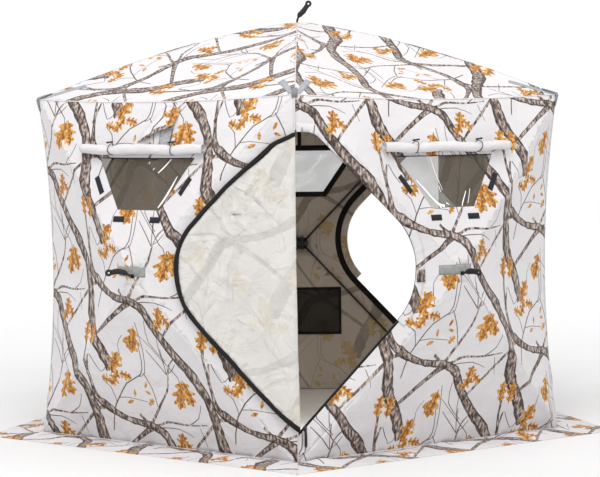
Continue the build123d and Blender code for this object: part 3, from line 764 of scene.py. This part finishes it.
def build_window(wall):
    shift = WINDOW_SHIFT.get(wall.name, 0)
    # the painted reflection is cut into the film as a part of its print
    marks = [(TWIG, PAINTED_REFLECTION[wall.name])] if wall.name in PAINTED_REFLECTION else []
    # the painted highlights are cut into the film as parts of its print
    marks += [(BARK, branch_outline(g)) for g in GLINTS.get(wall.name, GLINTS["front_left"])]
    flat, faces, parts = cut_cloth(moved(wall, grown(WINDOW, PANE_HEM)), [], (shift, 0), .024, marks)
    points = []
    for s, z in flat:
        inwards = min(z - WINDOW_LOW, WINDOW_HIGH - z) + PANE_HEM
        edge = clamp(min(inwards, (WINDOW_HALF - abs(s - shift)) / .6) / .03)
        puff = edge * .005 * wander(s * 9 + z * 7, z * 5, wall.angle + 2)
        points.append(wall.cloth(s, z, -.0022 + puff))
    pane = layered(f"window_pane_{wall.name}", points, faces, [film, painted_reflection, glint], parts, thickness=.0005)
    wall.stretch(pane, "top")
    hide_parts("window_panes")
    edge = grown(WINDOW, BINDING[0])
    inner, outer = divided(edge, .03), divided(grown(WINDOW, BINDING[1]), .03, like=edge)
    sewn = [on_top(wall, moved(wall, points + points[:1]), -.003) for points in (inner, outer)]
    binding = strip(f"window_binding_{wall.name}", *sewn, black_tape, .0014)
    under_roll = line((-.29, 1.448), (.30, 1.448), 24)
    hem = tube(f"window_hem_{wall.name}", on_top(wall, moved(wall, under_roll), .001), .0022, black_tape,
               sides=6)
    for piece in (binding, hem):
        wall.stretch(piece, "top")


ROLL_TURNS, ROLL_RADIUS, ROLL_CORE, ROLL_LENGTH, ROLL_HEIGHT = 3.1, .027, .006, .79, 1.494
ROLL_SHIFT = {"front_left": -.04, "front_right": .02}
STRAP_OFFSET = .2  # from a roll's middle to each of its straps
TOGGLE = ((-.022, .003), (-.018, .0046), (-.008, .005), (0, .0038), (.008, .005), (.018, .0046), (.022, .003))


def build_roll(wall, shift):
    """The window's cover, rolled up above it, and the length of cloth in the roll."""
    turns, lengths = 64, 40
    points, faces = [], []
    for i in range(lengths + 1):
        t = i / lengths
        s = shift + (t - .5) * ROLL_LENGTH
        sag = .009 * (1 - abs(cos(pi * (t * 2)))) + .002 * wander(s * 6, 1, wall.angle)
        centre = wall.cloth(s, ROLL_HEIGHT - sag, ROLL_RADIUS + .002, wrinkled=False)
        squeeze = 1 - .30 * sum(exp(-((s - shift - way * STRAP_OFFSET) / .02) ** 2) for way in (-1, 1))
        squeeze -= .10 * (2 * t - 1) ** 6
        for k in range(turns + 1):
            w = k / turns
            turn = pi + 2 * pi * ROLL_TURNS * (w - 1)
            ripple = 1 + .17 * wander(s * 16, cos(turn) * 1.6, sin(turn) * 1.6 + wall.angle)
            radius = (ROLL_CORE + (ROLL_RADIUS - ROLL_CORE) * w) * squeeze * ripple
            points.append(centre + wall.out * cos(turn) * radius + Z * sin(turn) * radius)
    for i in range(lengths):
        for k in range(turns):
            a = i * (turns + 1) + k
            faces.append([a, a + 1, a + turns + 2, a + turns + 1])
    roll = layered(f"window_cover_{wall.name}", points, faces, [plain], thickness=.0010)
    return roll, sum((points[k + 1] - points[k]).length for k in range(turns))


def build_cover(wall):
    """The rolled cover, the straps and toggles that hold it, and the tabs that would hold it closed."""
    shift = ROLL_SHIFT.get(wall.name, 0)
    cover, cloth_length = build_roll(wall, shift)
    wall.stretch(cover, "top")
    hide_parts("window_covers")
    for way in (-1, 1):
        s = shift + way * STRAP_OFFSET
        centre = wall.cloth(s, ROLL_HEIGHT, ROLL_RADIUS + .002, wrinkled=False)
        loop = []
        for k in range(25):
            turn = 2 * pi * k / 24
            radius = ROLL_RADIUS * .95 + .002
            loop.append(centre + wall.out * cos(turn) * radius + Z * sin(turn) * radius
                        + wall.along * .004 * sin(turn * 2 + way))
        strap = tube(f"cover_strap_{wall.name}_{way + 2}", loop, .0020, black_tape, sides=8, caps=False)
        top = centre + Z * (ROLL_RADIUS + .008) + wall.out * .008
        bar = [top + wall.along * (x - .004) + Z * .002 * sin(x * 60) for x, _ in TOGGLE]
        toggle = tube(f"cover_toggle_{wall.name}_{way + 2}", bar, [r for _, r in TOGGLE], black_plastic)
        for piece in (strap, toggle):
            wall.stretch(piece, "top")
            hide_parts("cover_toggles")
    lean = atan2(.171, .255)
    for way in (-1, 1):
        tabs = (((way * .278, 1.312), .014, .049, -way * lean), ((way * .118, 1.146), .034, .014, 0))
        for number, patch in enumerate(tabs):
            flat, faces, _ = box_patch(*patch)
            tab = layered(f"velcro_{wall.name}_{way + 2}_{number}", on_top(wall, moved(wall, flat), .0022),
                          faces, [black_velcro], thickness=.0018)
            wall.stretch(tab, "top")
            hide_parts("velcro_tabs")


for wall in ROOM.values():
    build_window(wall)
    build_cover(wall)


# ---- vents ----
HOOD = [(-.103, 1.529), (-.039, 1.551), (.032, 1.588), (.123, 1.607), (.143, 1.704), (.038, 1.723)]
HOOD_FORK = (0, 1.6)  # where the hood's own part of the print is measured from
HOOD_TWIG = [(-.01, -.03, .009), (.0, .01, .009), (.04, .06, .011), (.045, .13, .010)]
HOOD_LIMB = [(-.115, -.085, .030), (-.05, -.054, .026), (.03, -.010, .034), (.08, 0, .042),
             (.135, .025, .03)]
HOOD_LEAVES = [(.100, 0, 80, .125), (.118, .02, 105, .10), (.085, .06, 150, .055)]


def build_vent(wall):
    """A hood over a mesh opening, propped out along its lower edge."""
    marks = [(TWIG, branch_outline(HOOD_TWIG)), (BARK, branch_outline(HOOD_LIMB)),
             (BARK_SHADE, branch_outline(HOOD_LIMB, -1.0, -.2))]
    marks += [(LEAF_GOLD, leaf_outline(*leaf)) for leaf in HOOD_LEAVES]
    marks += [(LEAF_SHADE, leaf_outline(*leaf, -.06, .6)) for leaf in HOOD_LEAVES]
    flat, faces, parts = cut_cloth(HOOD, [], HOOD_FORK, .014, marks)
    points = []
    left, low = HOOD[0]
    for s, z in flat:
        rim = low + (s - left) * .36
        open_by = clamp(1 - (z - rim) / .10)
        middle = clamp((s - left) / .09) * clamp((.145 - s) / .03)
        high = .024 * open_by * middle + .004 * wander(s * 30, z * 30, wall.angle)
        points.append(wall.cloth(s, z, .004 + max(0.0, high)))
    hood = layered(f"vent_hood_{wall.name}", points, faces, PRINTED, parts, inner_offset=INSIDE)
    wall.stretch(hood, "top")
    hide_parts("vent_hoods")
    flat, faces, _ = cut_cloth([(.042, 1.508), (.110, 1.508), (.118, 1.63), (.03, 1.61)], [], None, .02)
    gauze = layered(f"vent_mesh_{wall.name}", on_top(wall, flat, .0024), faces, [pale_net], thickness=.0008)
    rim = tube(f"vent_edge_{wall.name}", on_top(wall, line((.111, 1.508), (.119, 1.60), 8), .004), .0025,
               bark_shade, sides=6)
    for piece in (gauze, rim):
        wall.stretch(piece, "top")


for name in ("front_left", "rear_right"):
    build_vent(ROOM[name])


# ---- doors ----
TO_LOWER_EDGE = 54  # how many points of a door's outline come before its straight lower edge
# how far a folded door sags at each distance from its hinge
DROOP = [(0, 0), (.03, .017), (.06, .030), (.085, .035), (.11, .036), (.164, .030), (.294, .011), (.42, 0)]
DOORWAYS = {"front": (.009, .003, .042), "rear": (.032, .045, .036)}  # tape width, storm flap's overlaps
COIL_RADIUS = .0022
FAN_HEIGHT = 1.66  # the creases of a folded door fan out from its hinge at this height


def build_doorway(door, wall, flap_wall):
    def beside(points, lift):
        return [wall.cloth(u * SLOPE - SIDE, z, lift) for u, z in points]

    tape_width, over_opening, over_wall = DOORWAYS[door]
    tape = strip(f"doorway_tape_{door}", beside(door_outline(0, .002), .0006),
                 beside(door_outline(-tape_width, .002), .0006), black_tape, .0034)
    teeth = tube(f"doorway_coil_{door}", beside(door_outline(.0015, .003), 0), COIL_RADIUS, black_plastic,
                 sides=6)
    for piece in (tape, teeth):
        wall.stretch(piece, "left")
        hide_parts("doorway_tapes")
    free, sewn = (door_outline(inset, .004)[:TO_LOWER_EDGE] for inset in (over_opening, -over_wall))
    shape = [(u * SLOPE - SIDE, z) for u, z in free + sewn[::-1]]
    flat, faces, parts = cut_cloth(shape, [], FORKS[wall.name], .02)
    cloth = [wall.cloth(s, z, .0042 + .002 * wander(s * 8, z * 8, 1)) for s, z in flat]
    storm = layered(f"storm_flap_{door}", cloth, faces, PRINTED, parts, inner_offset=INSIDE)
    wall.stretch(storm, "left")
    flat, faces, _ = box_patch((.637 * SLOPE - SIDE, .868), .021, .030, 0)
    tab = layered(f"storm_flap_tab_{door}", [wall.cloth(s, z, .0072) for s, z in flat], faces, [bark])
    wall.stretch(tab, "left")

    def hinged(piece):
        """The piece's placement is baked into its points; the door's folded-back shape comes from folded."""
        corner = flap_wall.at(SIDE, MID, 0)
        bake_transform(piece)

    edge = door_outline(.004, -.002)

    def folded(u, z, lift=0.0):
        """The point of the folded-back door at this distance from its hinge, and this height."""
        fan = atan2(u, FAN_HEIGHT - z)
        reach = hypot(u, FAN_HEIGHT - z)
        crease = .010 * sin(fan * 15 + 1) + .006 * sin(fan * 33 + 2)
        crease += .020 * wander(fan * 9, reach * 1.5, wall.angle)
        crease += .014 * wander(fan * 30, reach * 4, wall.angle)
        crease *= .12 + .88 * min(1, min(hypot(u - x, z - y) for x, y in edge) / .12)
        droop = float(np.interp(u, *zip(*DROOP))) * clamp((z - 1.15) / .3)
        away = .007 + min(1, .2 + u / .12) * max(.002, .022 + crease) + lift
        place = flap_wall.cloth(SIDE - u * SLOPE, z - droop, away)
        return place + flap_wall.along * (.008 + .018 * max(0, 1 - z / .95)) * exp(-max(0, u) / .06)

    flat, faces, parts = cut_cloth(door_outline(.023, -.002), [], (.30, .42), .022)
    cloth = [folded(u, z) for u, z in flat]
    faces = [face[::-1] for face in faces]
    flap = layered(f"door_{door}", cloth, faces, TURNED, parts, inner_offset=INSIDE)
    hinged(flap)
    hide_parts(f"door_flap_{door}")
    inner = [folded(u, z, .0008) for u, z in door_outline(.024, -.002)]
    outer = [folded(u, z, .0008) for u, z in edge]
    band = strip(f"door_tape_{door}", inner, outer, black_tape, .0017)
    coil = tube(f"door_coil_{door}", [folded(u, z, .0004) for u, z in door_outline(.004, .006)], COIL_RADIUS,
                black_plastic, sides=6)
    for piece in (band, coil):
        hinged(piece)
        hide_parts(f"door_flap_tape_{door}")


build_doorway("front", ROOM["front_right"], ROOM["front_left"])
build_doorway("rear", ROOM["rear"], ROOM["rear_right"])


# ---- skirt ----
SKIRT, SKIRT_CORNER = .24, .17  # its width, and how much further than the wall it reaches at a corner


def build_skirt(wall):
    half = (APOTHEM + SKIRT) * tan(HALF)
    region = [(-SIDE, 0), (SIDE, 0), (half, -SKIRT), (-half, -SKIRT)]
    flat, faces, parts = cut_cloth(region, [], (FORKS[wall.name][0] + .33, -.05), .02)
    points = []
    for x, y in flat:
        v = -y / SKIRT
        wave = wander(x * 5, v * 1.4, wall.angle) + .5 * wander(x * 13, v * 3, wall.angle)
        free = clamp((SIDE + SKIRT_CORNER * v - abs(x)) / .12)
        high = .0014 + max(0, .018 * wave + .004) * sin(pi * min(1, v + .12)) * max(.15, free)
        high += .004 * (1 - v) ** 2
        points.append(wall.at(x, high, -y - .002))
    piece = layered(f"skirt_{wall.name}", points, faces, PRINTED, parts, inner_offset=INSIDE)
    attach(piece, "root")
    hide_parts("snow_skirt")


for wall in ROOM.values():
    build_skirt(wall)


# ---- seams, hub strips and the pocket ----
STRIP_SHIFT = {"front_left": -.022, "front_right": -.028}
for name, wall in ROOM.items():
    spans = [(GROUND + .004, .14), (1.575, HEIGHT)] if wall.at_door(1) else [(GROUND + .004, HEIGHT)]
    seams = [(f"corner_seam_{name}_{i}", (SIDE, low), (SIDE, high), 40, .0026)
             for i, (low, high) in enumerate(spans)]
    seams.append((f"eave_seam_{name}", (-SIDE, HEIGHT), (SIDE, HEIGHT), 48, .0028))
    seams.append((f"foot_seam_{name}", (-SIDE, GROUND + .004), (SIDE, GROUND + .004), 24, .0022))
    for title, start, end, steps, radius in seams:
        piece = tube(title, [wall.cloth(s, z) for s, z in line(start, end, steps)], radius, plain, sides=8)
        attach(piece, "root")
    flat, faces, _ = box_patch((STRIP_SHIFT.get(name, 0), MID + .020), .095, .024, 0, .015)
    badge = layered(f"hub_strip_{name}", [wall.cloth(s, z, .0016) for s, z in flat], faces, [reflective],
                    thickness=.0014)
    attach(badge, wall.hub)

rear = ROOM["rear"]
POCKET_HALF, POCKET_LOW, POCKET_HIGH = .238, .324, .605
POCKET_MID = (POCKET_LOW + POCKET_HIGH) / 2
low_left, low_right = (-POCKET_HALF, POCKET_LOW), (POCKET_HALF, POCKET_LOW)
top_left, top_right = (-POCKET_HALF, POCKET_HIGH), (POCKET_HALF, POCKET_HIGH)
flat, faces, _ = cut_cloth([low_left, low_right, top_right, top_left], [], None, .03)
points = []
for s, z in flat:
    puff = .016 * max(0, sin(pi * (z - POCKET_LOW) / (POCKET_HIGH - POCKET_LOW))) ** .5 * cos(s * 6) ** 2
    points.append(rear.cloth(s, z, -.004 - puff))
pocket = layered("mesh_pocket_net", points, faces, [net], thickness=.0009)
edge_points = []
for a, b in edges_of([top_left, low_left, low_right, top_right]):
    edge_points += line(a, b, 12)[:-1]
edge_points.append(top_left)
edging = strip("mesh_pocket_edging", [rear.cloth(s, z, -.006) for s, z in edge_points],
               [rear.cloth(s * .94, POCKET_MID + (z - POCKET_MID) * .9, -.006) for s, z in edge_points],
               black_tape, .0014)
for piece in (pocket, edging):
    rear.stretch(piece, "bottom")
    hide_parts("mesh_pocket")
sides = [[rear.cloth(s, z, -.004) for s, z in line((s, 1.46), (s, 1.60), 8)] for s in (-.004, .018)]
strap = strip("rear_window_strap", *sides, black_tape, .0016)
rear.stretch(strap, "top")


# ---- pull handles and zip pulls ----
GRIP = [(0, .0055, .0055), (.007, .0062, .0055), (.013, .0048, .0044), (.020, .0068, .0054),
        (.028, .0118, .0070), (.038, .0146, .0082), (.047, .0134, .0080), (.057, .0150, .0084),
        (.068, .0142, .0080), (.080, .0132, .0072),  # along a grip: half its width, half its thickness
        (.090, .0130, .0062), (.099, .0136, .0052)]
EYE_REACH, EYE_STEPS, EYE_SIDES = .110, 28, 12  # from the pin to the eye's middle, and how finely it is cut
HANDLES = {  # how far a handle leans along its wall, in degrees, and how far it bends up
    "front_left": (-54, .025), "front_right": (3, .014), "rear_right": (40, .010), "rear": (-54, .012),
    "rear_left": (-60, .010)}


def build_handle(name, pin, way, across, bend):
    """A moulded pull: a grip that swells from its pin, and the eye at its end."""
    def at(r):
        return pin + way * r + across * bend(r)
    grip = swept(f"pull_grip_{name}", [at(r) for r, _, _ in GRIP], across, [w for _, w, _ in GRIP],
                 [h for _, _, h in GRIP], leather)
    flat = way.cross(across)
    middle, points = at(EYE_REACH), []
    for i in range(EYE_STEPS):
        turn = 2 * pi * i / EYE_STEPS
        out = way * cos(turn) + across * sin(turn)
        for k in range(EYE_SIDES):
            roll = 2 * pi * k / EYE_SIDES
            points.append(middle + out * (.0112 + .0062 * cos(roll)) + flat * .0052 * sin(roll))
    faces = [face[::-1] for face in ring_faces(EYE_STEPS, EYE_SIDES, closed=True)]
    eye = make_object(f"pull_eye_{name}", points, faces, [leather])
    for piece in (grip, eye):
        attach(piece, f"pull_handle_{name}")
        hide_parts(f"pull_handle_{name}")


for name, (lean, rise) in HANDLES.items():
    wall = ROOM[name]
    way = wall.along * sin(radians(lean)) + wall.out * cos(radians(lean))
    build_handle(name, wall.at(0, MID, BULGE + .012), way, Z,
                 lambda r, rise=rise: rise * sin(pi * .74 * min(1, r / .1)))
lean = radians(34)
build_handle("roof", Vector((0, CENTRE_Y, PEAK + .012)), Vector((sin(lean), 0, cos(lean))),
             Vector((cos(lean), 0, -sin(lean))),
             lambda r: -.006 * sin(pi * min(1, r / .06)))

for door, wall in (("front", ROOM["front_right"]), ("rear", ROOM["rear"])):
    low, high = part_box(f"zip_pull_{door}")
    middle = (low + high) / 2
    path = [Vector((middle.x, middle.y, high.z + (low.z - high.z) * k / 16)) + wall.out * .007 * min(1, k / 5)
            for k in range(17)]
    wide = [.0085 * min(1, .45 + .35 * min(k, 16 - k)) * (.80 + .20 * k / 16) for k in range(17)]
    pull = swept(f"zip_cord_{door}", path, wall.along, wide, [.0022] * 17, leather)
    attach(pull, f"zip_pull_{door}")
    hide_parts(f"zip_pull_{door}")

# ---- pieces kept from the frame ----
KEPT = {"hub_": hub_plastic, "pole_cups": black_tape, "zip_slider": metal}
for name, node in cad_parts.items():
    for start, material in KEPT.items():
        if name.startswith(start):
            node.data.materials.clear()
            node.data.materials.append(material)


# ---- camera, light and floor ----
def floor_material():
    """Pale grey round the shelter and paler far off, so that it runs into the background."""
    material = shader("floor", [(222, 222, 222), (226, 226, 226)], scale=1, bump=0.0, roughness=0.9)
    tree = material.node_tree
    surface = next(n for n in tree.nodes if n.type == "BSDF_PRINCIPLED")
    near = surface.inputs["Base Color"].links[0].from_socket
    place, far_off, reach, mix = (tree.nodes.new(kind) for kind in (
        "ShaderNodeTexCoord", "ShaderNodeVectorMath", "ShaderNodeMapRange", "ShaderNodeMix"))
    far_off.operation = "LENGTH"
    mix.data_type = "RGBA"
    tree.links.new(place.outputs["Object"], far_off.inputs[0])
    tree.links.new(far_off.outputs["Value"], reach.inputs["Value"])
    reach.inputs["From Min"].default_value, reach.inputs["From Max"].default_value = 2.5, 9.0
    tree.links.new(reach.outputs["Result"], mix.inputs["Factor"])
    tree.links.new(near, mix.inputs[6])
    mix.inputs[7].default_value = (0.98, 0.98, 0.98, 1)
    tree.links.new(mix.outputs[2], surface.inputs["Base Color"])
    return material


def studio():
    scene = bpy.context.scene
    scene.view_settings.view_transform = "Standard"
    world = bpy.data.worlds.new("studio")
    scene.world = world
    world.use_nodes = True
    world.node_tree.nodes["Background"].inputs["Color"].default_value = (1, 1, 1, 1)
    world.node_tree.nodes["Background"].inputs["Strength"].default_value = 1.02
    bpy.ops.mesh.primitive_plane_add(size=60, location=(0, 0, -0.0005))
    ground = bpy.context.object
    ground.name = "studio_floor"
    ground.data.materials.append(floor_material())
    lamps = [("key", (-0.5, -5.3, 8.8), (0, CENTRE_Y, 0.9), 6.0, 455, (1, 0.99, 0.99)),
             ("inside", (0.1, CENTRE_Y, 1.3), (0, CENTRE_Y, 0.7), 0.5, 4.2, (1, 0.92, 0.82)),
             ("sill", (0.1, CENTRE_Y - 0.82, 0.32), (0.1, CENTRE_Y - 0.83, 0), 0.3, 8.5, (1, 1, 1))]
    for name, at, towards, size, power, colour in lamps:
        data = bpy.data.lights.new(name, "AREA")
        data.size, data.energy, data.color = size, power, colour
        lamp = bpy.data.objects.new(name, data)
        lamp.location = at
        lamp.rotation_euler = (Vector(towards) - Vector(at)).to_track_quat("-Z", "Y").to_euler()
        scene.collection.objects.link(lamp)


def camera():
    yaw, pitch, roll = -0.011, -0.060, -0.010
    ahead = Vector((sin(yaw) * cos(pitch), cos(yaw) * cos(pitch), sin(pitch)))
    right = ahead.cross(Z).normalized()
    up = right.cross(ahead)
    across = right * cos(roll) + up * sin(roll)
    upright = up * cos(roll) - right * sin(roll)
    data = bpy.data.cameras.new("camera")
    data.sensor_width, data.lens = 36, 115.66
    data.clip_end = 200
    made = bpy.data.objects.new("camera", data)
    bpy.context.scene.collection.objects.link(made)
    turn = Matrix((across, upright, -ahead)).transposed().to_4x4()
    made.matrix_world = Matrix.Translation((0.119, -10.472 + CENTRE_Y, 1.612)) @ turn
    bpy.context.scene.camera = made


studio()
camera()
